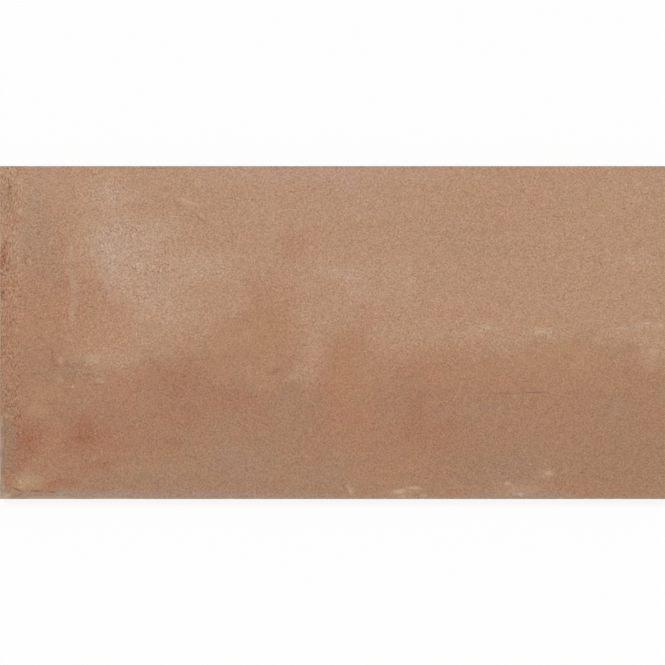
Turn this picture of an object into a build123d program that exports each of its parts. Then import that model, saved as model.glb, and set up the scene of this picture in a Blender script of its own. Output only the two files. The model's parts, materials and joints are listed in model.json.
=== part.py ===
from build123d import *
import os

# A rectified stoneware floor tile, lying face up. Lengths are in millimetres and angles in degrees.
# X runs along the long edge, Y along the short edge and Z up to the walking face.
# The origin is the middle of the back, on the plane that the tile lies on.

# Outline of the fired and squared tile
tile_length = 600.0
tile_width = 300.0
tile_thickness = 9.5

# Edges
arris_bevel = 0.6  # ground at 45 degrees round the walking face, so that the edge doesn't chip
foot_round = 1.5  # left by the mould where each flank turns under to the back

# Keyed back: a waffle of shallow cells that the bedding mortar grips
rim_width = 21.0  # least width of the plain band between a flank and the outer cells
rib_width = 4.5  # crest of the ribs, on the plane that the tile lies on
cell_size = 33.0  # mouth of a cell, which is square
cell_corner = 2.5  # flat across the corner where two walls of a cell would meet
cell_depth = 0.8
cell_draft = 45.0  # lean of a cell's walls, which lets the pressed clay leave the die

cell_pitch = cell_size + rib_width
rounding_slack = 1e-6  # of a cell, so that a row which fits exactly keeps its last cell


def cells_that_fit(span):
    """Number of cells in a row across the field that the rim leaves."""
    field = span - 2 * rim_width
    return int((field + rib_width) / cell_pitch + rounding_slack)


def squared_slab():
    """The pressed body after firing and grinding, bevelled above and rounded below."""
    on_the_bed = (Align.CENTER, Align.CENTER, Align.MIN)
    slab = Box(tile_length, tile_width, tile_thickness, align=on_the_bed)
    slab = chamfer(slab.faces().sort_by(Axis.Z)[-1].edges(), arris_bevel)
    return fillet(slab.faces().sort_by(Axis.Z)[0].edges(), foot_round)


def key_cell():
    """One hollow of the waffle, as a drafted plug that stands on the bed plane."""
    plug = extrude(Rectangle(cell_size, cell_size), amount=cell_depth, taper=cell_draft)
    wall_joints = plug.edges().group_by(Axis.Z)[1]  # above the mouth's edges and below the floor's
    return chamfer(wall_joints, cell_corner)


def floor_tile():
    """The whole tile, which is one solid."""
    along = cells_that_fit(tile_length)
    across = cells_that_fit(tile_width)
    cell = key_cell()
    cells = [place * cell for place in GridLocations(cell_pitch, cell_pitch, along, across)]
    return squared_slab() - cells


os.makedirs("parts", exist_ok=True)
export_step(floor_tile(), "parts/floor_tile.step")
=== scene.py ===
import bmesh
import bpy
import json
import math
import numpy as np
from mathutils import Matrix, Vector, noise

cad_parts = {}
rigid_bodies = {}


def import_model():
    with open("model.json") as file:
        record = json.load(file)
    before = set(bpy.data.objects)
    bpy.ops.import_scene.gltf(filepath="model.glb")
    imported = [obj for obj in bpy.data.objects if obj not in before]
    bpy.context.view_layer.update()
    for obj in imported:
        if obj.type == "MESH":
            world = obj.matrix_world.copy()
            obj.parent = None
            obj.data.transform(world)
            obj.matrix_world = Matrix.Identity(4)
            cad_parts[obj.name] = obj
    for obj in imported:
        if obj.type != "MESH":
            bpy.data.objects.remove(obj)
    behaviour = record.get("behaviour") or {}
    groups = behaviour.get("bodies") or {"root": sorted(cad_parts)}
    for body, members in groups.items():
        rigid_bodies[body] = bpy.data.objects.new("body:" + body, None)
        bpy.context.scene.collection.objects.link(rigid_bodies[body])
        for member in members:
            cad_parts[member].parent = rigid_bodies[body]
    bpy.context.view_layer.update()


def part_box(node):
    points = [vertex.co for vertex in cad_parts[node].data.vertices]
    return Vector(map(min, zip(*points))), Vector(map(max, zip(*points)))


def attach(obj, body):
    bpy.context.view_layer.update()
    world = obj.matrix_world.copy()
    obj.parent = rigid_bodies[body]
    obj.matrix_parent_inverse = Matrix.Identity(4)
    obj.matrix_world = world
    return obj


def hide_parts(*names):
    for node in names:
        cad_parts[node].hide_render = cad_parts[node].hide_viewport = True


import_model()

mm = 0.001  # everything below is written in millimetres, and Blender works in metres
touching = 0.01  # mm within which two places count as one

tileLow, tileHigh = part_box("floor_tile")
halfLength = (tileHigh.x - tileLow.x) / 2 / mm
halfWidth = (tileHigh.y - tileLow.y) / 2 / mm
thickness = (tileHigh.z - tileLow.z) / mm
print(f"frame: tile {2 * halfLength:.1f} x {2 * halfWidth:.1f} x {thickness:.1f} mm")


def tone(red, green, blue):
    # an 8-bit picture colour as the linear colour that a shader takes
    channels = []
    for value in (red, green, blue):
        share = value / 255
        channels.append(share / 12.92 if share <= 0.04045 else ((share + 0.055) / 1.055) ** 2.4)
    return (*channels, 1.0)


# Camera

camera = {
    "lens": 120.0,  # long, so that the view stays close to flat
    "sensor": 36.0,
    "framedLength": 599.0,  # mm of walking face from one side of the picture to the other
}


def addCamera():
    data = bpy.data.cameras.new("overheadCamera")
    data.lens = camera["lens"]
    data.sensor_width = camera["sensor"]
    height = camera["framedLength"] * camera["lens"] / camera["sensor"]
    overhead = bpy.data.objects.new("overheadCamera", data)
    overhead.location = (0, 0, (thickness + height) * mm)  # looks straight down, with +Y up the picture
    bpy.context.scene.collection.objects.link(overhead)
    bpy.context.scene.camera = overhead


# Lights, world and floor

studio = {
    "skyStrength": 0.60,  # share of the plain level that comes from all round
    "sunStrength": 1.66,
    "sunHeight": 48.0,  # degrees above the floor
    "sunSide": 128.0,  # degrees anticlockwise from +X, so that it comes from the upper left
    "sunSpread": 25.0,  # degrees across, for soft shadows
    "skyColour": (1.0, 1.0, 1.0, 1.0),
    "floorColour": (0.92, 0.92, 0.92, 1.0),
    "floorSize": 6000.0,
    "floorGap": 0.02,  # mm between the floor and the tile, so that the two planes never meet
    "floorGlow": 0.86,  # share of the floor that the camera sees as plain white
}


def addNode(tree, kind, inputs=None, **settings):
    # inputs are numbers, colours or the outputs of other nodes, by the socket's name or place
    node = tree.nodes.new("ShaderNode" + kind)
    for name, value in settings.items():
        setattr(node, name, value)
    for socket, value in (inputs or {}).items():
        if isinstance(value, bpy.types.NodeSocket):
            tree.links.new(value, node.inputs[socket])
        else:
            node.inputs[socket].default_value = value
    return node


def newMaterial(name):
    material = bpy.data.materials.new(name)
    material.use_nodes = True
    material.node_tree.nodes.clear()
    return material, material.node_tree


def shownRays(tree):
    # 1 for the rays of the camera, of gloss and through glass
    path = addNode(tree, "LightPath").outputs
    mirror = addNode(tree, "Math", {0: path["Is Camera Ray"], 1: path["Is Glossy Ray"]}, operation="MAXIMUM")
    shown = addNode(tree, "Math", {0: mirror.outputs[0], 1: path["Is Transmission Ray"]}, operation="MAXIMUM")
    return shown.outputs[0]


def addLights():
    world = bpy.data.worlds.new("paleStudio")
    bpy.context.scene.world = world
    world.use_nodes = True
    tree = world.node_tree
    tree.nodes.clear()
    lit = addNode(tree, "Background", {"Color": studio["skyColour"], "Strength": studio["skyStrength"]})
    white = addNode(tree, "Background", {"Color": studio["skyColour"], "Strength": 1.0})
    sky = addNode(tree, "MixShader", {"Fac": shownRays(tree), 1: lit.outputs[0], 2: white.outputs[0]})
    addNode(tree, "OutputWorld", {"Surface": sky.outputs[0]})

    sunData = bpy.data.lights.new("windowSun", "SUN")
    sunData.energy = studio["sunStrength"]
    sunData.angle = math.radians(studio["sunSpread"])
    sun = bpy.data.objects.new("windowSun", sunData)
    height, side = math.radians(studio["sunHeight"]), math.radians(studio["sunSide"])
    towards = Vector((math.cos(height) * math.cos(side), math.cos(height) * math.sin(side), math.sin(height)))
    sun.rotation_mode = "QUATERNION"
    sun.rotation_quaternion = towards.to_track_quat("Z", "Y")
    sun.location = towards
    bpy.context.scene.collection.objects.link(sun)


def addFloor():
    half = studio["floorSize"] / 2 * mm
    mesh = bpy.data.meshes.new("paleFloor")
    corners = [(-half, -half, 0), (half, -half, 0), (half, half, 0), (-half, half, 0)]
    mesh.from_pydata(corners, [], [(0, 1, 2, 3)])
    floor = bpy.data.objects.new("paleFloor", mesh)
    floor.location.z = tileLow.z - studio["floorGap"] * mm
    bpy.context.scene.collection.objects.link(floor)

    material, tree = newMaterial("paleFloor")
    geometry = addNode(tree, "NewGeometry")
    matt = addNode(tree, "BsdfDiffuse", {"Color": studio["floorColour"]})
    white = addNode(tree, "Emission", {"Color": (1, 1, 1, 1), "Strength": 1.0})
    clear = addNode(tree, "BsdfTransparent")
    seen = addNode(tree, "MixShader", {"Fac": studio["floorGlow"], 1: matt.outputs[0], 2: white.outputs[0]})
    # The floor shows to the camera, in gloss and through glass, and only from above.
    # Other light passes through it, so that the tile's flanks and back stay lit.
    above = addNode(tree, "Math", {0: 1.0, 1: geometry.outputs["Backfacing"]}, operation="SUBTRACT")
    share = addNode(tree, "Math", {0: shownRays(tree), 1: above.outputs[0]}, operation="MULTIPLY")
    surface = addNode(tree, "MixShader", {"Fac": share.outputs[0], 1: clear.outputs[0], 2: seen.outputs[0]})
    addNode(tree, "OutputMaterial", {"Surface": surface.outputs[0]})
    mesh.materials.append(material)


# Shape of the tile

tileShape = {
    "edgeStep": 0.6,  # spacing of the grid at the edges, where the chips are
    "faceStep": 1.9,  # and in the middle
    "stepGrowth": 1.04,
    "bevel": 0.6,
    "footRound": 1.5,
    "footSteps": 4,
    "footApron": 0.8,  # flat strip beside the rounded foot, which keeps its shading off the rim
    "flankRows": (7.4, 5.2, 3.2),  # heights of the loops between the bevel and the foot
    "sharpAngle": 32.0,  # degrees from which an edge is shaded sharp
}

relief = {
    "swell": 0.11,  # slow unevenness of the pressed face, in mm
    "swellSpan": 95.0,
    "ripple": 0.035,
    "rippleSpan": 17.0,
    "leftBand": 21.0,  # width of the rough band along the left end
    "leftWander": 3.0,  # how far the band's inner border strays
    "leftDrop": 0.16,
    "leftFall": 0.6,  # below 1 the band stays low for longer before it meets the face
    "leftRough": 0.09,
    "leftRoughSpan": 5.5,
    "flakeRagged": 0.35,  # how far a flake's outline strays, as a share of its size
    "flakeRaggedSpan": 4.0,
    "edgeChip": 0.40,  # deepest small chip along the ground edges
    "edgeChipSpan": 7.0,
    "chipFrom": 0.35,  # noise at which a chip sets in, and by how much more it is at its deepest
    "chipRange": 0.5,
    "chipDrop": 0.5,  # how far a chip lowers the edge, as a share of its bite
    "chipLoops": 2,  # loops below the face over which a chip runs out
    "flakeChip": 0.40,  # how far a flake at the edge bites into it
}

# Where in Blender's noise each unevenness is cut, so that no two are alike
noiseLayers = {
    "swell": 3.1, "ripple": 8.4, "leftRough": 21.7, "flakeRagged": 40.2, "edgeChip": 60.0,
    "driftX": 11.3, "driftY": 52.9, "stripBorder": 71.0,
}
noiseRatio = 2.0  # the features of each octave are half as large as those of the one before

# Shallow flakes and dents in the face: middle x and y, half length and half width, lean in degrees, depth
flakes = [
    (17.5, -142.5, 4.6, 3.6, 35, 0.34),
    (60.0, -142.5, 7.5, 3.0, 8, 0.30),
    (74.0, -140.0, 9.0, 2.2, -6, 0.22),
    (82.0, -146.5, 5.0, 2.4, 0, 0.30),
    (168.5, -145.5, 3.4, 2.2, 15, 0.32),
    (194.5, -127.0, 3.0, 2.2, 0, 0.20),
    (157.5, -136.0, 4.0, 1.8, 10, 0.18),
    (-298.0, -92.0, 3.2, 15.0, 0, 0.30),
    (-298.5, -124.0, 2.8, 16.0, 0, 0.34),
    (-296.0, -147.0, 8.0, 5.0, 0, 0.30),
    (-294.0, -75.0, 4.5, 4.0, 0, 0.18),
    (-255.0, -148.5, 34.0, 1.8, 0, 0.22),
    (-198.0, -149.0, 22.0, 1.5, 0, 0.18),
]

# Grooves: start x and y, end x and y, width, depth
grooves = [
    (-272.0, -143.0, -249.0, -143.6, 1.5, 0.28),
    (-291.0, -139.0, -277.7, -144.3, 1.2, 0.24),
    (-277.7, -144.3, -286.0, -148.4, 1.2, 0.20),
    (-139.0, 125.0, -114.0, 116.0, 2.4, 0.10),
    (-55.0, -38.0, -42.0, -33.5, 3.6, 0.20),
    (-296.3, -70.0, -296.0, -138.0, 1.3, 0.16),
]

# Ridges that stand between two drag marks, written as grooves are
ridges = [
    (-38.0, -33.0, -30.0, -37.5, 4.0, 0.05),
    (-137.0, 121.0, -116.0, 113.0, 2.6, 0.04),
]


def gridLines(halfSpan):
    # distances from the edge inwards, closer together at the edge, then mirrored
    inward, step, lines = 0.0, tileShape["edgeStep"], [0.0]
    while inward < halfSpan:
        inward += step
        lines.append(inward)
        step = min(step * tileShape["stepGrowth"], tileShape["faceStep"])
    near = np.array(lines) * halfSpan / inward - halfSpan
    return np.concatenate([near, -near[-2::-1]])


def bump(distance):
    # 1 in the middle and 0 from a distance of 1, with a smooth foot
    inside = np.clip(1 - distance ** 2, 0, 1)
    return inside ** 2 * (3 - 2 * inside)


def besideLine(x, y, mark):
    startX, startY, endX, endY, width = mark[:5]
    alongX, alongY = endX - startX, endY - startY
    length = math.hypot(alongX, alongY)
    along = ((x - startX) * alongX + (y - startY) * alongY) / length
    across = ((y - startY) * alongX - (x - startX) * alongY) / length
    past = np.maximum(np.maximum(-along, along - length), 0)
    return bump(np.hypot(across, past) / width)


def fractalField(x, y, span, octaves, layer, decay=0.9):
    # noise of about -1 to 1 at each point, whose largest features are about span mm across
    depth = noiseLayers[layer]
    return np.array([noise.fractal(Vector((a / span, b / span, depth)), decay, noiseRatio, octaves)
                     for a, b in zip(x, y)])


def ovalDistance(x, y, spot):
    # 0 in the middle of a leaned oval and 1 at its outline
    middleX, middleY, halfLong, halfWide, lean = spot[:5]
    turn = math.radians(lean)
    along = (x - middleX) * math.cos(turn) + (y - middleY) * math.sin(turn)
    across = (y - middleY) * math.cos(turn) - (x - middleX) * math.sin(turn)
    return np.hypot(along / halfLong, across / halfWide)


def faceRelief(x, y):
    # depth below the plane of the walking face, and how far each point is flaked
    swell = fractalField(x, y, relief["swellSpan"], 2, "swell")
    ripple = fractalField(x, y, relief["rippleSpan"], 3, "ripple")
    depth = relief["swell"] * (0.5 + 0.5 * np.clip(swell, -1, 1))
    depth += relief["ripple"] * (0.5 + 0.5 * np.clip(ripple, -1, 1))

    fromLeft = x + halfLength
    wavyBand = relief["leftBand"] + relief["leftWander"] * swell
    inBand = np.clip(1 - fromLeft / wavyBand, 0, 1) ** relief["leftFall"]
    coarse = fractalField(x, y, relief["leftRoughSpan"], 2, "leftRough")
    depth += inBand * (relief["leftDrop"] + relief["leftRough"] * np.clip(coarse, -1, 1))

    flaked = np.zeros_like(x)
    ragged = 1 + relief["flakeRagged"] * fractalField(x, y, relief["flakeRaggedSpan"], 2, "flakeRagged")
    for flake in flakes:
        inside = bump(ovalDistance(x, y, flake) * ragged)
        depth += flake[5] * inside
        flaked = np.maximum(flaked, inside)
    for mark in grooves:
        depth += mark[5] * besideLine(x, y, mark)
    for mark in ridges:
        depth -= mark[5] * besideLine(x, y, mark)
    return np.maximum(depth, 0.0), flaked


def outlineOf(columns, rows):
    # indices of the grid's border, anticlockwise from the near left corner
    near = list(range(columns))
    right = [row * columns + columns - 1 for row in range(1, rows)]
    far = [(rows - 1) * columns + column for column in range(columns - 2, -1, -1)]
    left = [row * columns for row in range(rows - 2, 0, -1)]
    return near + right + far + left


def atInset(place, border, inset, bite):
    # stretches a point of the face's border out to the tile's outline less the inset, then takes off the bite
    moved = []
    for value, edge, end in zip(place, border, (halfLength - inset, halfWidth - inset)):
        onEdge = abs(value) > edge - touching
        moved.append(value * end / edge - (math.copysign(bite, value) if onEdge else 0.0))
    return moved


def stitch(points, outer, inner, axis):
    # triangles between two rows of points that run the same way along an axis
    faces, a, b = [], 0, 0
    while a < len(outer) - 1 or b < len(inner) - 1:
        nextOuter = points[outer[a + 1]][axis] if a < len(outer) - 1 else math.inf
        nextInner = points[inner[b + 1]][axis] if b < len(inner) - 1 else math.inf
        if nextOuter <= nextInner:
            faces.append((outer[a], outer[a + 1], inner[b]))
            a += 1
        else:
            faces.append((outer[a], inner[b + 1], inner[b]))
            b += 1
    return faces


backShape = {
    "cellSize": 33.0,  # mouth of one cell of the keyed back
    "cellPitch": 37.5,
    "cellsLong": 15,
    "cellsWide": 7,
    "cellCorner": 2.5,
    "cellDepth": 0.8,
}


def cellOutline(size, corner):
    half, clipped = size / 2, size / 2 - corner
    return [(-clipped, -half), (clipped, -half), (half, -clipped), (half, clipped),
            (clipped, half), (-clipped, half), (-half, clipped), (-half, -clipped)]


def addBack(points, faces, foot):
    # the waffle of drafted cells and the rim round it, stitched to the ring of the foot
    pitch, size = backShape["cellPitch"], backShape["cellSize"]
    depth, corner = backShape["cellDepth"], backShape["cellCorner"]
    long, wide = backShape["cellsLong"], backShape["cellsWide"]
    known = {}

    def pointAt(x, y, z):
        key = (round(x, 4), round(y, 4), round(z, 4))
        if key not in known:
            known[key] = len(points)
            points.append((x, y, z))
        return known[key]

    reach, clipped = pitch / 2, size / 2 - corner
    for column in range(long):
        for row in range(wide):
            middleX = (column - (long - 1) / 2) * pitch
            middleY = (row - (wide - 1) / 2) * pitch
            mouth = [pointAt(middleX + x, middleY + y, 0) for x, y in cellOutline(size, corner)]
            ceiling = [pointAt(middleX + x, middleY + y, depth)
                       for x, y in cellOutline(size - 2 * depth, corner)]
            faces.append(ceiling[::-1])
            for side in range(8):
                after = (side + 1) % 8
                faces.append((mouth[side], ceiling[side], ceiling[after], mouth[after]))
            # ribs: four strips along the sides and four corners, out to the middle of the rib
            square = []
            for signX, signY in ((-1, -1), (1, -1), (1, 1), (-1, 1)):
                square.append(pointAt(middleX + signX * reach, middleY + signY * reach, 0))
            rim = [pointAt(middleX + x, middleY + y, 0) for x, y in (
                (-clipped, -reach), (clipped, -reach), (reach, -clipped), (reach, clipped),
                (clipped, reach), (-clipped, reach), (-reach, clipped), (-reach, -clipped))]
            for side in range(4):
                first, second = 2 * side, 2 * side + 1
                faces.append((rim[first], mouth[first], mouth[second], rim[second]))
                nextFirst = (second + 1) % 8
                faces.append((rim[second], mouth[second], mouth[nextFirst], rim[nextFirst],
                              square[(side + 1) % 4]))

    fieldX, fieldY = long * reach, wide * reach
    edge = {"near": [], "far": [], "left": [], "right": []}
    for (x, y, z), index in known.items():
        borders = {"near": y + fieldY, "far": y - fieldY, "left": x + fieldX, "right": x - fieldX}
        for side, beyond in borders.items():
            if z == 0 and abs(beyond) < touching:
                edge[side].append(index)
    inset = tileShape["footRound"] + tileShape["footApron"]
    footX, footY = halfLength - inset, halfWidth - inset
    ring = {
        "near": [i for i in foot if abs(points[i][1] + footY) < touching],
        "far": [i for i in foot if abs(points[i][1] - footY) < touching],
        "left": [i for i in foot if abs(points[i][0] + footX) < touching],
        "right": [i for i in foot if abs(points[i][0] - footX) < touching],
    }
    for side, axis in (("near", 0), ("far", 0), ("left", 1), ("right", 1)):
        outer = sorted(ring[side], key=lambda i: points[i][axis])
        inner = sorted(edge[side], key=lambda i: points[i][axis])
        faces.extend(stitch(points, outer, inner, axis))


def tileMesh():
    bevel, foot = tileShape["bevel"], tileShape["footRound"]
    border = (halfLength - bevel, halfWidth - bevel)
    lineX, lineY = gridLines(border[0]), gridLines(border[1])
    columns, rows = len(lineX), len(lineY)
    gridX, gridY = [axis.ravel() for axis in np.meshgrid(lineX, lineY)]
    depth, flaked = faceRelief(gridX, gridY)
    points = list(zip(gridX, gridY, thickness - depth))
    faces = []
    for row in range(rows - 1):
        for column in range(columns - 1):
            corner = row * columns + column
            faces.append((corner, corner + 1, corner + columns + 1, corner + columns))
    faceCount = len(faces)

    # flanks: one loop of points for each height, from the bevel down to the foot
    loop = outlineOf(columns, rows)
    levels = [(bevel / 2, thickness - bevel / 2), (0.0, thickness - bevel)]
    levels += [(0.0, height) for height in tileShape["flankRows"]]
    for step in range(tileShape["footSteps"] + 1):
        turn = math.pi / 2 * step / tileShape["footSteps"]
        levels.append((foot * (1 - math.cos(turn)), foot * (1 - math.sin(turn))))
    levels.append((foot + tileShape["footApron"], 0.0))
    knocks = fractalField(gridX[loop], gridY[loop], relief["edgeChipSpan"], 2, "edgeChip", 1.0)
    chipped = np.clip((knocks - relief["chipFrom"]) / relief["chipRange"], 0, 1)
    bites = np.maximum(relief["edgeChip"] * chipped, relief["flakeChip"] * flaked[loop])
    above, untouched = loop, [points[index][:2] for index in loop]
    for index, place, bite in zip(loop, untouched, bites):
        points[index] = (*atInset(place, border, bevel, bite), points[index][2])
    for number, (inset, height) in enumerate(levels):
        share = max(0.0, 1 - number / relief["chipLoops"])
        drop = relief["chipDrop"] * share
        below = []
        for place, bite in zip(untouched, bites):
            below.append(len(points))
            points.append((*atInset(place, border, inset, share * bite), height - drop * bite))
        for side in range(len(loop)):
            after = (side + 1) % len(loop)
            faces.append((above[side], below[side], below[after], above[after]))
        above = below
    flankCount = len(faces)
    addBack(points, faces, above)

    mesh = bpy.data.meshes.new("tileBody")
    mesh.from_pydata([(x * mm, y * mm, z * mm) for x, y, z in points], [], faces)
    fields = stainFields(gridX, gridY)
    fields["flaked"] = flaked
    for name, values in fields.items():
        layer = mesh.attributes.new(name, "FLOAT", "POINT")
        spread = np.zeros(len(points), np.float32)
        spread[:len(values)] = values
        layer.data.foreach_set("value", spread)
    # walking face, flanks and back each have a material of their own
    slots = np.full(len(mesh.polygons), 2, np.int32)
    slots[:flankCount] = 1
    slots[:faceCount] = 0
    mesh.polygons.foreach_set("material_index", slots)
    addLayout(mesh, faceCount, flankCount)

    shell = bmesh.new()
    shell.from_mesh(mesh)
    bmesh.ops.recalc_face_normals(shell, faces=shell.faces)
    shell.to_mesh(mesh)
    shell.free()
    mesh.shade_smooth()
    mesh.set_sharp_from_angle(angle=math.radians(tileShape["sharpAngle"]))
    return mesh


def addLayout(mesh, faceCount, flankCount):
    # a flat layout: face above, back below and the four flanks in strips between them, all to one scale
    layout = mesh.uv_layers.new(name="OFBake")
    scale = 1 / (2 * halfLength)
    squeeze = 0.94  # leaves room between the face and the back for three rows of flanks
    deep = 2 * halfWidth * scale * squeeze
    row = (1 - 2 * deep) / 3
    margin = (row - thickness * scale) / 2
    corners = np.empty(len(mesh.loops) * 2, np.float32)
    for polygon in mesh.polygons:
        vertices = [mesh.vertices[i].co / mm for i in polygon.vertices]
        middle = sum(vertices, Vector()) / len(vertices)
        for loopIndex, place in zip(polygon.loop_indices, vertices):
            across = place.x * scale + 0.5
            upward = place.y * scale * squeeze + deep / 2
            rise = deep + margin + place.z * scale
            if polygon.index < faceCount:
                spot = (across, 1 - deep + upward)
            elif polygon.index >= flankCount:
                spot = (across, upward)
            elif abs(middle.x) / halfLength > abs(middle.y) / halfWidth:
                spot = (upward + (margin if middle.x < 0 else 0.5 + margin), rise)
            else:
                spot = (across, rise + (row if middle.y < 0 else 2 * row))
            corners[2 * loopIndex], corners[2 * loopIndex + 1] = spot
    layout.data.foreach_set("uv", corners)


# Firing colours of the walking face, and a painted shadow line along its left end

firingTones = {
    "upperClay": tone(180, 142, 115),
    "lowerClay": tone(166, 127, 100),
    "lilacAsh": tone(184, 150, 129),
    "sandOchre": tone(178, 137, 107),
    "kilnBrown": tone(173, 130, 102),
    "fireOrange": tone(180, 133, 101),
    "fireRed": tone(176, 124, 98),
    "plumBrown": tone(165, 117, 92),
    "deepRed": tone(154, 97, 71),
    "coldAsh": tone(163, 131, 110),
    # dark ash, whose tone also paints the shadow line beside the chips of the left end
    "darkAshAndShadow": tone(157, 122, 98),
    "paleBloom": tone(193, 167, 147),
    "edgeSand": tone(186, 153, 124),
    "limeGrey": tone(158, 141, 126),
}

# The paler upper clay ends at a line across the face: x and y in mm, from the left end to the right
paleLine = [
    (-300, 20), (-250, 12), (-228, -32), (-190, -38), (-165, -26), (-130, -12), (-104, -2), (-84, 18),
    (-62, 28), (-48, 22), (-42, -20), (-30, -44), (-14, -38), (-4, -12), (8, 0), (24, 2), (38, -27),
    (58, -26), (110, -20), (160, -21), (200, -9), (250, -10), (280, -26), (300, -30),
]

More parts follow.
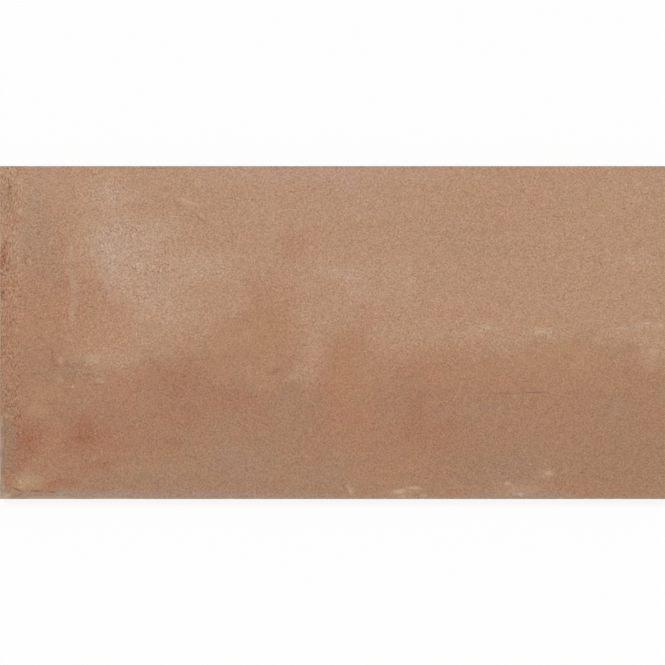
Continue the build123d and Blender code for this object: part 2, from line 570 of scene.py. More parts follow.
# Soft stains in each tone: middle x and y, half length and half width in mm, lean in degrees, strength
stains = {
    "lilacAsh": [
        (-20, 143, 165, 12, 0, 0.60), (30, 118, 60, 18, 0, 0.30), (-20, 104, 20, 16, 0, 0.15),
        (120, 84, 80, 12, 0, 0.08), (265, 130, 50, 20, 0, 0.25), (-60, 110, 22, 30, 20, 0.30),
        (-205, -24, 34, 12, -15, 0.20), (-20, -2, 12, 26, 0, 0.12), (12, 56, 60, 20, 0, 0.20),
        (20, 32, 20, 14, 0, 0.30), (-262, 132, 24, 22, 0, 0.30), (-226, -66, 11, 7, 0, 0.30),
    ],
    "coldAsh": [
        (-78, -114, 44, 24, 0, 0.60), (-45, -65, 22, 14, 0, 0.20), (133, -70, 36, 9, 0, 0.25),
        (-258, 62, 16, 34, 0, 0.50), (-268, 98, 20, 54, 0, 0.45), (-246, 62, 14, 30, 0, 0.40),
        (-236, -37, 20, 6, -10, 0.30), (-196, -120, 30, 10, 0, 0.30), (250, -72, 50, 20, 0, 0.10),
        (-5, -128, 40, 16, 0, 0.30), (-160, -128, 44, 16, 0, 0.50), (160, -122, 44, 22, 0, 0.45),
        (125, 78, 62, 14, -4, 0.18), (0, -135, 290, 5, 0, 0.42), (-228, -66, 12, 8, 0, 0.30),
        (-262, 36, 30, 20, 0, 0.40), (97, -68, 9, 6, 0, 0.35), (124, -61, 11, 7, 0, 0.35),
        (150, -68, 11, 7, 0, 0.35), (256, -68, 12, 8, 0, 0.30), (5, -108, 14, 13, 0, 0.35),
    ],
    "sandOchre": [
        (-234, 8, 46, 22, 0, 0.60), (-277, 4, 20, 24, 0, 0.55), (-264, -68, 13, 8, 0, 0.90),
        (-78, -8, 32, 24, 0, 0.50), (-68, -34, 22, 12, 0, 0.70), (42, -40, 14, 16, 0, 0.70),
        (168, -26, 14, 10, 0, 0.40), (-212, -4, 34, 20, 0, 0.60), (-250, 110, 26, 26, 0, 0.25),
        (-55, -46, 18, 8, 0, 0.50), (72, -20, 50, 10, 0, 0.35), (-246, -29, 9, 5, 0, 0.45),
        (-208, -42, 10, 5, 0, 0.45), (210, -24, 56, 18, 0, 0.80), (-150, 110, 30, 16, -20, 0.15),
        (130, 118, 70, 16, 0, 0.12), (-92, -2, 36, 18, 25, 0.55), (236, -44, 44, 12, 0, 0.35),
        (-250, -114, 14, 18, 0, 0.25),
    ],
    "kilnBrown": [
        (-56, 14, 28, 46, 0, 0.42), (-40, 8, 15, 42, 0, 0.40), (-110, -34, 38, 16, 10, 0.75),
        (115, -36, 66, 15, 0, 0.75), (190, -44, 84, 13, 0, 0.60), (-275, 32, 28, 34, 0, 0.75),
        (-225, 32, 34, 20, 0, 0.45), (-248, 26, 52, 44, 0, 0.75), (-230, -52, 60, 16, 0, 0.50),
        (-205, -106, 60, 36, 0, 0.40), (-244, 76, 18, 26, 0, 0.35), (200, -72, 44, 16, 0, 0.30),
    ],
    "fireOrange": [
        (13, -24, 23, 32, 0, 0.52), (18, -60, 22, 28, 0, 0.42), (-256, -53, 14, 10, 0, 0.60),
        (48, -130, 32, 14, 0, 0.25), (-54, 8, 24, 38, 0, 0.38), (-232, -52, 18, 7, 0, 0.25),
        (-243, -132, 13, 8, 0, 0.45), (-250, -92, 12, 20, 0, 0.25), (120, -38, 60, 12, 0, 0.25),
    ],
    "fireRed": [
        (-38, 74, 15, 12, 0, 0.38), (-24, 92, 12, 8, 0, 0.25), (-68, 42, 16, 12, 0, 0.20),
        (30, 15, 10, 15, 55, 0.45), (76, -38, 38, 12, 0, 0.34), (-4, -46, 16, 16, 0, 0.50),
        (-12, -28, 10, 12, 0, 0.30), (-187, -42, 26, 12, 10, 0.45), (-291, 44, 10, 30, 0, 0.40),
        (-291, 0, 10, 36, 0, 0.45), (288, -36, 16, 8, 0, 0.25), (298, -78, 8, 22, 0, 0.45),
        (-40, -22, 7, 12, 0, 0.30), (138, 18, 12, 6, 0, 0.30), (92, -17, 60, 8, 0, 0.22),
        (100, 14, 16, 8, 0, 0.18), (115, -58, 60, 12, 0, 0.20), (-282, -80, 14, 26, 0, 0.22),
        (270, -34, 30, 10, 0, 0.14), (132, 92, 30, 8, 0, 0.12), (22, -84, 36, 32, 0, 0.42),
        (13, -26, 20, 26, 0, 0.16), (82, -100, 34, 24, 0, 0.24), (-262, -104, 36, 34, 0, 0.22),
        (-194, -64, 40, 14, 0, 0.30), (-292, 100, 9, 34, 0, 0.30),
    ],
    "plumBrown": [
        (-140, -44, 30, 18, 0, 0.65), (-88, -62, 34, 13, -15, 0.55), (-137, -72, 34, 15, 0, 0.50),
        (74, -76, 17, 28, 0, 0.55), (-225, -100, 50, 34, 0, 0.50), (100, -96, 34, 18, 0, 0.45),
        (8, -72, 30, 16, 0, 0.20), (-180, -92, 40, 18, 0, 0.35), (-290, -92, 12, 44, 0, 0.55),
    ],
    "deepRed": [
        (-299, 72, 6, 16, 0, 0.75), (-275, -98, 15, 23, 0, 0.55), (-221, -90, 14, 11, 25, 0.42),
        (-232, -103, 13, 8, 0, 0.32), (-208, -119, 14, 8, 0, 0.40), (-142, -99, 12, 8, 0, 0.30),
        (-245, -134, 12, 7, 0, 0.45), (-286, -122, 8, 14, 0, 0.30), (-287, -96, 8, 26, 0, 0.20),
    ],
    "darkAshAndShadow": [
        (266, -114, 54, 32, 0, 0.38), (140, -118, 50, 20, 0, 0.30), (-212, -136, 40, 9, 0, 0.35),
        # In the dark ash tone, the two strips at x -294 and -295, from y -143 to -51, are painted shadow: a
        # dark line beside the pale chips of the left end
        (-294, -97, 7, 46, 0, 0.90), (-292, 40, 11, 60, 0, 0.35), (-236, -37, 14, 6, -8, 0.38),
        (-260, -40, 16, 5, 0, 0.25), (-250, -57, 15, 7, 0, 0.40), (-294, 122, 8, 26, 0, 0.45),
        (-120, -136, 80, 7, 0, 0.25), (-295, -100, 6, 34, 0, 0.50),
    ],
    "paleBloom": [
        (-182, 70, 38, 32, 0, 0.42), (-204, 88, 22, 22, 0, 0.28), (-200, 124, 30, 20, 0, 0.35),
        (-120, 60, 34, 18, 0, 0.32), (-152, 28, 34, 24, 0, 0.30), (-190, 40, 24, 16, 0, 0.20),
        (-156, 96, 26, 16, 0, 0.25), (8, 54, 20, 12, 0, 0.24), (56, 50, 18, 26, 0, 0.12),
        (68, 37, 11, 18, 0, 0.12), (20, 36, 18, 8, 0, 0.14), (272, 63, 15, 9, 0, 0.22),
        (-22, -34, 12, 12, 0, 0.10), (288, -12, 15, 7, 0, 0.10), (280, 6, 26, 5, 0, 0.28),
        (136, 2, 16, 5, -12, 0.22), (190, 1, 13, 4, -8, 0.28), (-235, 42, 6, 44, 0, 0.22),
        (-193, 66, 3, 12, 0, 0.22),
    ],
    "edgeSand": [
        (-273, -133, 16, 8, 0, 0.55), (-283, -137, 7, 5, 0, 0.30), (63, -144, 20, 6, 0, 0.40),
        (16, -147, 8, 4, 0, 0.35), (168, -143, 26, 9, 0, 0.40), (194, -127, 8, 6, 0, 0.40),
    ],
    "limeGrey": [
        (-228, -149, 76, 8, 0, 0.70), (0, -152, 500, 6, 0, 0.78), (-110, -148, 120, 7, 0, 0.45),
        (165, -149, 46, 7, 0, 0.50), (-301.5, -88, 2.6, 10, 0, 0.40), (-301, -109, 5.5, 9, 0, 0.70),
        (-301.5, -125, 2.6, 9, 0, 0.35), (-295, -146, 9, 8, 0, 0.60), (-275, -149, 30, 6, 0, 0.50),
        (-298, -140, 4, 9, 0, 0.45), (0, 151.5, 500, 3, 0, 0.68),
    ],
}

# Scuffs, where the grain stands out more: laid out as the stains are
scuffs = [
    (-198, 92, 12, 8, 0, 0.5), (-181, 89, 9, 7, 0, 0.5), (-175, 58, 9, 5, 0, 1.5), (-155, 58, 11, 9, 0, 1.0),
    (-174, 33, 9, 5, 0, 0.9), (-149, 80, 9, 7, 0, 0.5),
]

faceFinish = {
    "drift": 9.0,  # mm by which noise pushes the stains' outlines about
    "driftSpan": 30.0,
    "driftOctaves": 6,
    "driftDecay": 0.7,  # lower leaves the fine octaves stronger
    "lineSoftness": 15.0,  # mm on each side of the pale line
    "lineSpread": (-10, -5, 0, 5, 10),  # mm along the line over which it is blurred
    "stainFall": (0.15, 1.35),  # shares of a stain's size between which it fades
    "markFall": (0.2, 1.2),  # the same for the small marks
    "edgeTones": ("edgeSand", "limeGrey"),  # these follow the edges, and drift and break up less
    "edgeShare": 0.25,
    "patchiness": 0.80,
    # tones that lie as fine dust, and how finely they break up
    "dustiness": {"paleBloom": 1.9, "lilacAsh": 0.9, "deepRed": 1.5, "plumBrown": 0.8},
    "plainDust": 0.5,
    "mottle": 0.20,
    "tint": (0.17, 0.13, 0.26),  # how far red, green and blue drift apart in the mottling
    "grain": (0.40, 0.300, 0.235),  # red, green and blue that a pale grain adds
    "grainPatches": 1.5,  # how far the grain comes and goes from place to place
    "coarseBase": 0.80,  # grain of the lower clay, and how much more there is elsewhere
    "coarseStrip": 1.30,
    "coarseBloom": 0.90,
    "coarseUpper": 0.36,
    "stripWander": 2.5,  # mm by which the inner border of the coarse strip strays
    "stripSpan": 12.0,
    "stripSoftness": 4.0,
    "stripEnd": -130.0,  # the strip fades towards this height, near the corner, but not below its least share
    "stripFade": 70.0,
    "stripLeast": 0.25,
    "dragShare": 0.65,  # how much of the strip's grain runs in upright drag lines
    "markWobble": 0.7,  # mm by which the small marks are pushed about
    "pitClouds": (0.42, 0.62),  # clouds between which the pits gather
    "pitLeast": 0.15,
    "speckShare": 0.35,
    "flakeFade": (0.2, 0.9),  # depths of a flake, as shares, between which the paler body shows
    "flakeShare": 0.2,
    "roughness": 0.80,
    "roughnessSpread": 0.06,
    "shine": 0.12,
    "grainHeight": 0.10,  # mm of relief in the bump
    "mottleHeight": 1.5,  # that of the mottling, in grain heights
    "pitHeight": 0.16,
}

# Noises: size in mm, or one for each axis, then detail, roughness and where in the noise it is cut
faceNoises = {
    "cloud": (15.0, 6.0, 0.68, (5, 1, 0)),
    "dust": (2.4, 2.0, 0.85, (8, 2, 0)),
    "mottle": (9.0, 5.0, 0.62, (1, 4, 0)),
    "grain": (1.5, 1.5, 0.8, (2, 9, 0)),
    "drag": ((1.3, 3.4, 1.3), 2.0, 0.8, (9, 5, 0)),
    "tint": (7.0, 3.0, 0.7, (6, 6, 0)),
    "wobble": (9.0, 3.0, 0.6, (4, 4, 0)),
}
# Specks: spacing and radius in mm, and where in the cloud of points they are cut
facePits = (4.6, 0.62, (3, 3, 0))
faceSand = (7.0, 0.60, (7, 5, 0))

markTones = {
    "dark": tone(116, 82, 62),
    "pale": tone(209, 184, 158),
}

# Small marks: middle x and y, half length and half width in mm, lean in degrees, strength
darkMarksAndShadow = [
    (-200, 91.5, 2.2, 1.4, 0, 0.30), (-161, 56.5, 2.0, 1.2, 0, 0.30), (-144, 56.5, 2.0, 1.2, 0, 0.30),
    (-175, 33, 4.0, 1.0, 0, 0.25), (-189, 130.5, 3.2, 0.9, -20, 0.30), (-119, 102, 8.0, 1.3, -35, 0.28),
    (-52, -35.5, 9.0, 3.0, 22, 0.22), (183, -54.0, 13.0, 0.8, 0, 0.50), (158, -55.0, 16.0, 0.8, 0, 0.28),
    (201, 104.7, 5.0, 0.6, -17, 0.35), (255, 28.4, 8.5, 0.7, 12, 0.28), (270.5, 43.8, 4.0, 0.6, 0, 0.25),
    (225, -126.5, 2.6, 1.3, 0, 0.50), (-252.4, -20, 1.0, 8.0, 0, 0.42), (-249, -30, 4.0, 0.9, -40, 0.42),
    (-239, -28, 0.8, 4.0, 0, 0.38), (-234.5, -31, 4.0, 0.9, 0, 0.34), (-221, -38, 6.0, 1.0, 0, 0.34),
    (-211, -47, 5.5, 0.9, 8, 0.34), (-266, -37, 7.0, 0.9, 0, 0.26), (-267, -143, 6.2, 1.1, 0, 0.60),
    (-252, -143.8, 5.2, 1.1, 4, 0.55), (-284, -141.5, 7.0, 1.0, -22, 0.60),
    # The dark marks near x -297, between y -133 and -60, are painted shadow: a dark line beside the pale
    # chips of the left end
    (-282, -146.5, 5.0, 1.0, 28, 0.50), (-296, -112, 0.8, 5.0, 0, 0.40), (-295.5, -86, 1.8, 26.0, 0, 0.20),
    (-276.5, 65, 1.0, 5.0, 0, 0.42), (-297, 35, 2.4, 6.0, 0, 0.34), (-290, 9, 1.2, 4.0, 0, 0.30),
    (76, -146.6, 3.2, 0.9, 0, 0.35), (167.5, -147.6, 2.4, 1.0, 0, 0.40), (20.5, -142, 0.8, 3.4, 25, 0.30),
    # the last two marks on this line are more of that painted shadow beside the left end's chips
    (-291, 128, 1.3, 8.0, 0, 0.40), (-297.5, -89, 2.6, 7.0, 0, 0.56), (-297.5, -125, 2.6, 8.0, 0, 0.52),
]
paleMarks = [
    (-131, 118, 14.0, 1.8, -20, 0.30), (-35, -39, 10.0, 4.0, 22, 0.14), (-31, -34, 6.0, 1.4, 20, 0.14),
    (-41, -43, 5.0, 1.2, 18, 0.14), (137, 4.6, 6.5, 1.4, -15, 0.40), (187.5, 0.4, 3.4, 1.0, 0, 0.50),
    (259, 4.2, 5.5, 0.9, 5, 0.45), (284, 8.6, 5.0, 1.3, 5, 0.40), (296, 6.5, 3.4, 1.8, 0, 0.45),
    (277.5, -11, 3.0, 1.0, -15, 0.40), (288, -16.5, 7.0, 4.0, 0, 0.20), (226, 85.3, 1.2, 1.2, 0, 0.70),
    (244, 105, 0.9, 0.9, 0, 0.30), (249.5, 144, 1.2, 1.0, 0, 0.60), (275, 133, 1.2, 2.4, 0, 0.35),
    (163, 137.5, 1.0, 1.0, 0, 0.40), (191, 87, 0.9, 1.6, 0, 0.40), (-234, -49, 1.6, 1.4, 0, 0.65),
    (-213.5, -91, 1.0, 1.0, 0, 0.50), (-281, -134, 1.2, 1.6, 0, 0.50), (178, -118.7, 1.2, 1.0, 0, 0.50),
    (-259.5, 72.5, 1.4, 1.4, 0, 0.35), (-254, 43, 1.6, 1.0, 0, 0.35), (-257.5, 0.5, 1.1, 1.1, 0, 0.60),
    (-161, 59.8, 2.0, 1.4, 0, 0.30), (-280, 133, 0.8, 16.0, 0, 0.22), (15, -141, 1.6, 6.0, 25, 0.30),
    (60, -143.5, 8.0, 2.4, 8, 0.26), (73, -140, 9.0, 1.8, -4, 0.22), (63, -148, 4.0, 1.8, 0, 0.28),
    (157.5, -136, 3.6, 2.2, 0, 0.24), (169.5, -146, 3.6, 2.4, 0, 0.30), (163, -141, 5.0, 2.0, 30, 0.14),
    (194.5, -126.5, 5.0, 3.0, 0, 0.18), (-281.5, -90, 2.0, 1.2, 20, 0.30), (-245, -25, 3.2, 4.4, 0, 0.24),
    (-246, -42, 3.6, 3.6, 0, 0.22), (-210, -43, 6.5, 3.0, -8, 0.18), (-216, -24, 9.0, 6.0, 0, 0.16),
    (-283, 137, 5.0, 4.0, 0, 0.26), (-281, 109, 3.0, 4.0, 0, 0.28), (-288, 90, 3.0, 2.0, 0, 0.30),
    (-272.5, 64, 1.4, 3.0, 0, 0.30), (-284, 1, 3.0, 3.0, 0, 0.20), (-254, 81, 2.0, 1.4, 0, 0.26),
    (-248, 50, 1.4, 1.2, 0, 0.28), (-235, 72, 2.6, 10.0, 0, 0.22), (-234.5, 45, 2.6, 12.0, 0, 0.16),
    (-235.5, 14, 2.6, 13.0, 0, 0.13), (-214, -113, 2.0, 4.0, -25, 0.18), (-208, -107, 1.2, 4.0, 10, 0.15),
    (-280, -139, 3.0, 1.6, 0, 0.22), (-293, -147, 4.0, 1.4, 30, 0.30), (-296.5, -139, 1.2, 3.0, 0, 0.30),
    (-298, -78, 1.2, 4.0, 0, 0.30),
]


def smoothFall(value, low, high):
    # 1 up to the low value, falling smoothly to 0 at the high one
    fall = np.clip((value - low) / (high - low), 0, 1)
    return 1 - fall ** 2 * (3 - 2 * fall)


def stainFields(x, y):
    # how far each tone covers each point of the face, kept on the mesh for the material to read
    drift, span = faceFinish["drift"], faceFinish["driftSpan"]
    octaves, decay = faceFinish["driftOctaves"], faceFinish["driftDecay"]
    driftedX = x + drift * fractalField(x, y, span, octaves, "driftX", decay)
    driftedY = y + drift * fractalField(x, y, span, octaves, "driftY", decay)
    lineX, lineY = np.array(paleLine).T
    soft = faceFinish["lineSoftness"]
    lower = [smoothFall(driftedY - np.interp(driftedX + shift, lineX, lineY), -soft, soft)
             for shift in faceFinish["lineSpread"]]
    fields = {"upperClay": 1 - sum(lower) / len(lower)}
    for name, group in stains.items():
        share = faceFinish["edgeShare"] if name in faceFinish["edgeTones"] else 1.0
        movedX, movedY = x + share * (driftedX - x), y + share * (driftedY - y)
        bare = np.ones_like(x)
        for stain in group:
            bare *= 1 - stain[5] * smoothFall(ovalDistance(movedX, movedY, stain), *faceFinish["stainFall"])
        fields[name] = 1 - bare
    strayed = faceFinish["stripWander"] * fractalField(x, y, faceFinish["stripSpan"], 4, "stripBorder")
    beyondStrip = halfLength - relief["leftBand"] + x - strayed
    cornerFade = (y - faceFinish["stripEnd"]) / faceFinish["stripFade"]
    fields["strip"] = np.clip(-beyondStrip / faceFinish["stripSoftness"], 0, 1)
    fields["strip"] *= np.clip(cornerFade, faceFinish["stripLeast"], 1)
    fields["coarse"] = (faceFinish["coarseBase"] + faceFinish["coarseStrip"] * fields["strip"]
                        + faceFinish["coarseBloom"] * fields["paleBloom"]
                        + faceFinish["coarseUpper"] * fields["upperClay"])
    for scuff in scuffs:
        fields["coarse"] += scuff[5] * smoothFall(ovalDistance(x, y, scuff), *faceFinish["stainFall"])
    return fields


# Materials

usualNoise = (0.3, 0.7)  # values between which nearly all of a noise lies
noiseHalves = (0.36, 0.62)  # and those between which it turns from its low half to its high one
speckCore = 0.4  # share of a speck's radius that shows in full


def millimetreSpace(tree):
    coordinates = addNode(tree, "TexCoord")
    return addNode(tree, "VectorMath", {0: coordinates.outputs["Object"], "Scale": 1 / mm},
                   operation="SCALE").outputs[0]


def noiseAt(tree, place, recipe):
    # noise whose features are about as many mm across as the recipe's size says
    size, detail, roughness, offset = recipe
    spans = size if isinstance(size, tuple) else (size,) * 3
    moved = addNode(tree, "VectorMath", {0: place, 1: tuple(1 / each for each in spans), 2: offset},
                    operation="MULTIPLY_ADD")
    return addNode(tree, "TexNoise", {"Vector": moved.outputs[0], "Scale": 1.0, "Detail": detail,
                                      "Roughness": roughness}, noise_dimensions="3D")


def splitNoise(tree, place, recipe):
    # three noises from one node
    colours = noiseAt(tree, place, recipe).outputs["Color"]
    return addNode(tree, "SeparateColor", {0: colours}).outputs


def maths(tree, operation, first, second=0.0, third=0.0, clamp=False):
    node = addNode(tree, "Math", {0: first, 1: second, 2: third}, operation=operation, use_clamp=clamp)
    return node.outputs[0]


def ranged(tree, value, fromLow, fromHigh, toLow=0.0, toHigh=1.0, smooth=True):
    kind = "SMOOTHSTEP" if smooth else "LINEAR"
    return addNode(tree, "MapRange", {"Value": value, "From Min": fromLow, "From Max": fromHigh,
                                      "To Min": toLow, "To Max": toHigh}, interpolation_type=kind).outputs[0]


def aroundOne(tree, value, amount):
    # turns a noise of 0 to 1 into a factor that lies on both sides of 1
    return maths(tree, "MULTIPLY_ADD", value, amount, 1.0 - amount / 2)


def warped(tree, place, recipe, amount):
    # the same places, pushed about by up to that many mm
    centred = addNode(tree, "VectorMath", {0: place, 1: (amount, amount, 0)}, operation="SUBTRACT").outputs[0]
    drift = noiseAt(tree, place, recipe).outputs["Color"]
    return addNode(tree, "VectorMath", {0: drift, 1: (2 * amount, 2 * amount, 0), 2: centred},
                   operation="MULTIPLY_ADD").outputs[0]


def painted(tree, name):
    # a field that is kept on the mesh
    return addNode(tree, "Attribute", attribute_name=name).outputs["Fac"]


def mixTone(tree, base, colour, share):
    mix = addNode(tree, "Mix", data_type="RGBA", blend_type="MIX")
    for socket, value in ((0, share), (6, base), (7, colour)):
        if isinstance(value, bpy.types.NodeSocket):
            tree.links.new(value, mix.inputs[socket])
        else:
            mix.inputs[socket].default_value = value
    return mix.outputs[2]


def scaleTone(tree, base, factor):
    # darkens or lightens a colour by a factor that nodes work out
    return addNode(tree, "VectorMath", {0: base, "Scale": factor}, operation="SCALE").outputs[0]


def markMask(tree, place, marks):
    # the union of small leaned ovals, in vector maths throughout, because mapping nodes overfill the shader
    total = 0.0
    for lean in sorted({mark[4] for mark in marks}):
        turn = math.radians(lean)
        turned = place
        if lean:
            turned = addNode(tree, "VectorRotate", {"Vector": place, "Angle": -turn},
                             rotation_type="Z_AXIS").outputs[0]
        for middleX, middleY, halfLong, halfWide, _, strength in [mark for mark in marks if mark[4] == lean]:
            along = middleX * math.cos(turn) + middleY * math.sin(turn)
            across = middleY * math.cos(turn) - middleX * math.sin(turn)
            oval = addNode(tree, "VectorMath", {0: turned, 1: (1 / halfLong, 1 / halfWide, 0),
                                                2: (-along / halfLong, -across / halfWide, 0)},
                           operation="MULTIPLY_ADD").outputs[0]
            distance = addNode(tree, "VectorMath", {0: oval}, operation="LENGTH").outputs["Value"]
            mask = ranged(tree, distance, *faceFinish["markFall"], strength, 0.0)
            total = maths(tree, "MAXIMUM", total, mask)
    return total


def specks(tree, place, recipe):
    # grains of one size, thinly scattered, where the surface cuts through a cloud of points
    span, radius, offset = recipe
    moved = addNode(tree, "VectorMath", {0: place, 1: (1 / span,) * 3, 2: offset}, operation="MULTIPLY_ADD")
    cells = addNode(tree, "TexVoronoi", {"Vector": moved.outputs[0], "Scale": 1.0}, feature="F1")
    return ranged(tree, cells.outputs["Distance"], speckCore * radius / span, radius / span, 1.0, 0.0)


def finishMaterial(tree, finish, colour, roughness, height):
    relieved = addNode(tree, "Bump", {"Height": height, "Strength": 1.0,
                                      "Distance": finish["grainHeight"] * mm}).outputs[0]
    shader = addNode(tree, "BsdfPrincipled", {"Base Color": colour, "Roughness": roughness,
                                              "Specular IOR Level": finish["shine"], "Normal": relieved})
    addNode(tree, "OutputMaterial", {"Surface": shader.outputs[0]})


def walkingFaceMaterial():
    material, tree = newMaterial("firedFace")
    place = millimetreSpace(tree)

    # each tone lies where its field says, broken up by clouds and by fine dust
    cloud = splitNoise(tree, place, faceNoises["cloud"])
    dust = splitNoise(tree, place, faceNoises["dust"])
    colour = mixTone(tree, firingTones["lowerClay"], firingTones["upperClay"], painted(tree, "upperClay"))
    for number, name in enumerate(stains):
        evenness = faceFinish["edgeShare"] if name in faceFinish["edgeTones"] else 1.0
        dustiness = faceFinish["dustiness"].get(name, faceFinish["plainDust"])
        patchy = aroundOne(tree, cloud[number % 3], 2 * evenness * faceFinish["patchiness"])
        dusty = aroundOne(tree, dust[number % 3], 2 * dustiness)
        broken = maths(tree, "MULTIPLY", patchy, dusty)
        share = maths(tree, "MULTIPLY", painted(tree, name), broken, clamp=True)
        colour = mixTone(tree, colour, firingTones[name], share)

    # grain and mottling
    mottle = noiseAt(tree, place, faceNoises["mottle"]).outputs[0]
    plain = noiseAt(tree, place, faceNoises["grain"]).outputs[0]
    drag = noiseAt(tree, place, faceNoises["drag"]).outputs[0]
    dragged = maths(tree, "MULTIPLY", painted(tree, "strip"), faceFinish["dragShare"])
    grain = addNode(tree, "Mix", {0: dragged, 2: plain, 3: drag}, data_type="FLOAT").outputs[0]
    uneven = aroundOne(tree, cloud[1], faceFinish["grainPatches"])
    coarse = maths(tree, "MULTIPLY", painted(tree, "coarse"), uneven)
    rough = maths(tree, "MULTIPLY", maths(tree, "SUBTRACT", grain, 0.5), coarse)
    tint = noiseAt(tree, place, faceNoises["tint"]).outputs["Color"]
    amounts = faceFinish["tint"]
    least = tuple(1 - amount / 2 for amount in amounts)
    tinting = addNode(tree, "VectorMath", {0: tint, 1: amounts, 2: least}, operation="MULTIPLY_ADD")
    colour = addNode(tree, "VectorMath", {0: colour, 1: tinting.outputs[0]}, operation="MULTIPLY").outputs[0]
    light = aroundOne(tree, mottle, faceFinish["mottle"])
    colour = scaleTone(tree, colour, light)
    colour = addNode(tree, "VectorMath", {0: rough, 1: faceFinish["grain"], 2: colour},
                     operation="MULTIPLY_ADD").outputs[0]

    # scratches, dents and specks, with a painted shadow line beside the chips of the left end
    wobbled = warped(tree, place, faceNoises["wobble"], faceFinish["markWobble"])
    dark = markMask(tree, wobbled, darkMarksAndShadow)
    pale = markMask(tree, wobbled, paleMarks)
    gathered = ranged(tree, cloud[2], *faceFinish["pitClouds"], faceFinish["pitLeast"], 1.0)
    scattered = specks(tree, place, facePits)
    pits = maths(tree, "MULTIPLY", scattered, maths(tree, "MULTIPLY", coarse, gathered))
    faintPits = maths(tree, "MULTIPLY", pits, faceFinish["speckShare"])
    colour = mixTone(tree, colour, markTones["dark"], maths(tree, "MAXIMUM", dark, faintPits))
    faintSand = maths(tree, "MULTIPLY", specks(tree, place, faceSand), faceFinish["speckShare"])
    colour = mixTone(tree, colour, markTones["pale"], maths(tree, "MAXIMUM", pale, faintSand))

    # flaked places show the paler body
    flaked = ranged(tree, painted(tree, "flaked"), *faceFinish["flakeFade"], 0.0, faceFinish["flakeShare"])
    colour = mixTone(tree, colour, markTones["pale"], flaked)

    height = maths(tree, "MULTIPLY", grain, coarse)
    height = maths(tree, "MULTIPLY_ADD", mottle, faceFinish["mottleHeight"], height)
    sunk = maths(tree, "MAXIMUM", dark, pits)
    height = maths(tree, "MULTIPLY_ADD", sunk, -faceFinish["pitHeight"] / faceFinish["grainHeight"], height)
    middle, spread = faceFinish["roughness"], faceFinish["roughnessSpread"]
    roughness = ranged(tree, mottle, *usualNoise, middle - spread, middle + spread, smooth=False)
    finishMaterial(tree, faceFinish, colour, roughness, height)
    return material


flankFinish = {
    "body": tone(186, 152, 127),
    "bodyDark": tone(172, 137, 112),
    "arris": tone(168, 148, 132),
    "dust": tone(200, 182, 164),
    "pit": tone(128, 98, 80),
    "streakShare": 0.25,  # how far the grinding wheel's drag lines colour the body
    "dustLine": (2.2, 4.4),  # mm above the floor between which the kiln dust fades, and how far that strays
    "dustWave": 4.0,
    "dustShare": 0.75,
    "arrisLine": (1.0, 0.45),  # mm below the face between which the rubbed arris sets in
    "arrisShare": 0.85,
    "grainShade": 0.5,
    "pitShare": 0.6,
    "roughness": 0.74,
    "shine": 0.26,
    "grainHeight": 0.05,
    "grainShare": 0.8,  # relief of the grain, the streaks and the pits, in grain heights
    "streakHeight": 0.8,
    "pitDepth": 2.0,
}

flankNoises = {
    "cloud": (14.0, 5.0, 0.62, (2, 6, 0)),
    "streak": ((30.0, 30.0, 0.6), 3.0, 0.6, (1, 1, 3)),
    "grain": (1.4, 2.0, 0.8, (6, 2, 1)),
}
flankPits = (3.6, 0.5, (2, 2, 2))


def flankMaterial():
    material, tree = newMaterial("groundFlank")
    place = millimetreSpace(tree)
    height = addNode(tree, "SeparateXYZ", {0: place}).outputs["Z"]
    cloud, streak, grain = [noiseAt(tree, place, recipe).outputs[0] for recipe in flankNoises.values()]
    streaks = flankFinish["streakShare"]
    blend = maths(tree, "MULTIPLY_ADD", streak, streaks, maths(tree, "MULTIPLY", cloud, 1 - streaks))
    colour = mixTone(tree, flankFinish["bodyDark"], flankFinish["body"], ranged(tree, blend, *noiseHalves))

    # kiln dust near the foot and a greyer, rubbed arris at the top
    wavy = maths(tree, "MULTIPLY_ADD", cloud, flankFinish["dustWave"], height)
    dusty = ranged(tree, wavy, *flankFinish["dustLine"], flankFinish["dustShare"], 0.0)
    colour = mixTone(tree, colour, flankFinish["dust"], dusty)
    lower, upper = [thickness - below for below in flankFinish["arrisLine"]]
    rubbed = ranged(tree, height, lower, upper, 0.0, flankFinish["arrisShare"])
    colour = mixTone(tree, colour, flankFinish["arris"], rubbed)
    colour = scaleTone(tree, colour, aroundOne(tree, grain, flankFinish["grainShade"]))
    pits = specks(tree, place, flankPits)
    colour = mixTone(tree, colour, flankFinish["pit"], maths(tree, "MULTIPLY", pits, flankFinish["pitShare"]))

    relieved = maths(tree, "MULTIPLY", grain, flankFinish["grainShare"])
    relieved = maths(tree, "MULTIPLY_ADD", pits, -flankFinish["pitDepth"], relieved)
    relieved = maths(tree, "MULTIPLY_ADD", streak, flankFinish["streakHeight"], relieved)
    finishMaterial(tree, flankFinish, colour, flankFinish["roughness"], relieved)
    return material


backFinish = {
    "body": tone(170, 136, 112),
    "bodyDark": tone(150, 117, 95),
    "wash": tone(208, 193, 176),  # pale powder that keeps the tile from sticking to the kiln
    "smoke": tone(128, 104, 90),
    "ribEdge": 0.1,  # mm from the rib and from the cell's ceiling within which the powder stays even
    "powderNoise": 0.6,  # how much of the wear comes from the fine noise, the rest from the clouds
    "wornNoise": (0.38, 0.60),  # noise between which the powder goes from worn to whole
    "powderKept": (0.25, 0.92),  # powder on worn and on whole places
    "cellPowder": 0.14,  # share of it that lies in the cells, and how much more on the ribs
    "ribPowder": 0.78,
    "rollerPitch": 62.0,  # mm between the faint bands that the kiln's rollers leave
    "rollerShare": 0.10,
    "rollerWave": 0.1,
    "rollerSmoke": 0.4,
    "grainShade": 0.6,
    "pitShare": 0.6,
    "pitDepth": 1.5,  # in grain heights
    "roughness": 0.88,
    "shine": 0.18,
    "grainHeight": 0.06,
}

backNoises = {
    "cloud": (26.0, 6.0, 0.65, (4, 2, 0)),
    "grain": (1.6, 2.0, 0.8, (3, 8, 0)),
    "powder": (6.0, 5.0, 0.7, (9, 3, 0)),
}
backPits = (4.2, 0.6, (1, 7, 2))


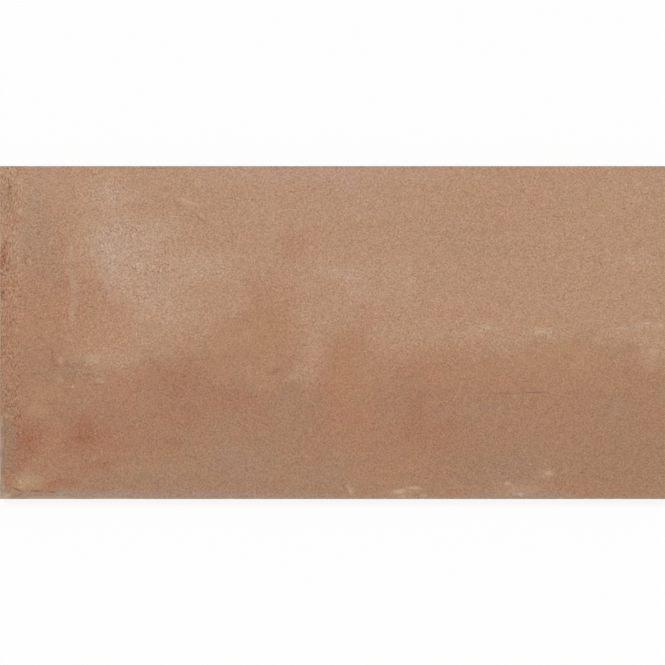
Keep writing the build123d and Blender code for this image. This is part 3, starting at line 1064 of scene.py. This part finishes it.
def backMaterial():
    material, tree = newMaterial("keyedBack")
    place = millimetreSpace(tree)
    axes = addNode(tree, "SeparateXYZ", {0: place}).outputs
    cloud, grain, powder = [noiseAt(tree, place, recipe).outputs[0] for recipe in backNoises.values()]
    colour = mixTone(tree, backFinish["bodyDark"], backFinish["body"], ranged(tree, cloud, *noiseHalves))

    # powder on the ribs and rim, worn through in places, and a little in the cells
    ribEdge, fineShare = backFinish["ribEdge"], backFinish["powderNoise"]
    onRib = ranged(tree, axes["Z"], ribEdge, backShape["cellDepth"] - ribEdge, 1.0, 0.0)
    wear = maths(tree, "MULTIPLY_ADD", powder, fineShare, maths(tree, "MULTIPLY", cloud, 1 - fineShare))
    kept = ranged(tree, wear, *backFinish["wornNoise"], *backFinish["powderKept"])
    laid = maths(tree, "MULTIPLY_ADD", onRib, backFinish["ribPowder"], backFinish["cellPowder"])
    colour = mixTone(tree, colour, backFinish["wash"], maths(tree, "MULTIPLY", kept, laid))

    # faint bands from the kiln's rollers, on the ribs only
    wavy = maths(tree, "MULTIPLY", cloud, backFinish["rollerWave"])
    along = maths(tree, "MULTIPLY_ADD", axes["X"], 1 / backFinish["rollerPitch"], wavy)
    fromBand = maths(tree, "ABSOLUTE", maths(tree, "SUBTRACT", maths(tree, "FRACT", along), 0.5))
    band = ranged(tree, fromBand, 0.0, backFinish["rollerShare"], backFinish["rollerSmoke"], 0.0)
    colour = mixTone(tree, colour, backFinish["smoke"], maths(tree, "MULTIPLY", band, onRib))
    colour = scaleTone(tree, colour, aroundOne(tree, grain, backFinish["grainShade"]))
    pits = specks(tree, place, backPits)
    colour = mixTone(tree, colour, backFinish["smoke"], maths(tree, "MULTIPLY", pits, backFinish["pitShare"]))

    relieved = maths(tree, "ADD", powder, grain)
    relieved = maths(tree, "MULTIPLY_ADD", pits, -backFinish["pitDepth"], relieved)
    finishMaterial(tree, backFinish, colour, backFinish["roughness"], relieved)
    return material


def addTile():
    mesh = tileMesh()
    triangles = sum(len(polygon.vertices) - 2 for polygon in mesh.polygons)
    print(f"tile body: {len(mesh.vertices)} points, {triangles} triangles")
    for material in (walkingFaceMaterial(), flankMaterial(), backMaterial()):
        mesh.materials.append(material)
        print(f"material {material.name}: {len(material.node_tree.nodes)} nodes")
    body = bpy.data.objects.new("tile_body", mesh)
    bpy.context.scene.collection.objects.link(body)
    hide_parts("floor_tile")
    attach(body, "root")


bpy.context.scene.view_settings.view_transform = "Standard"
addCamera()
addLights()
addFloor()
print("stage: camera, lights and floor")
addTile()
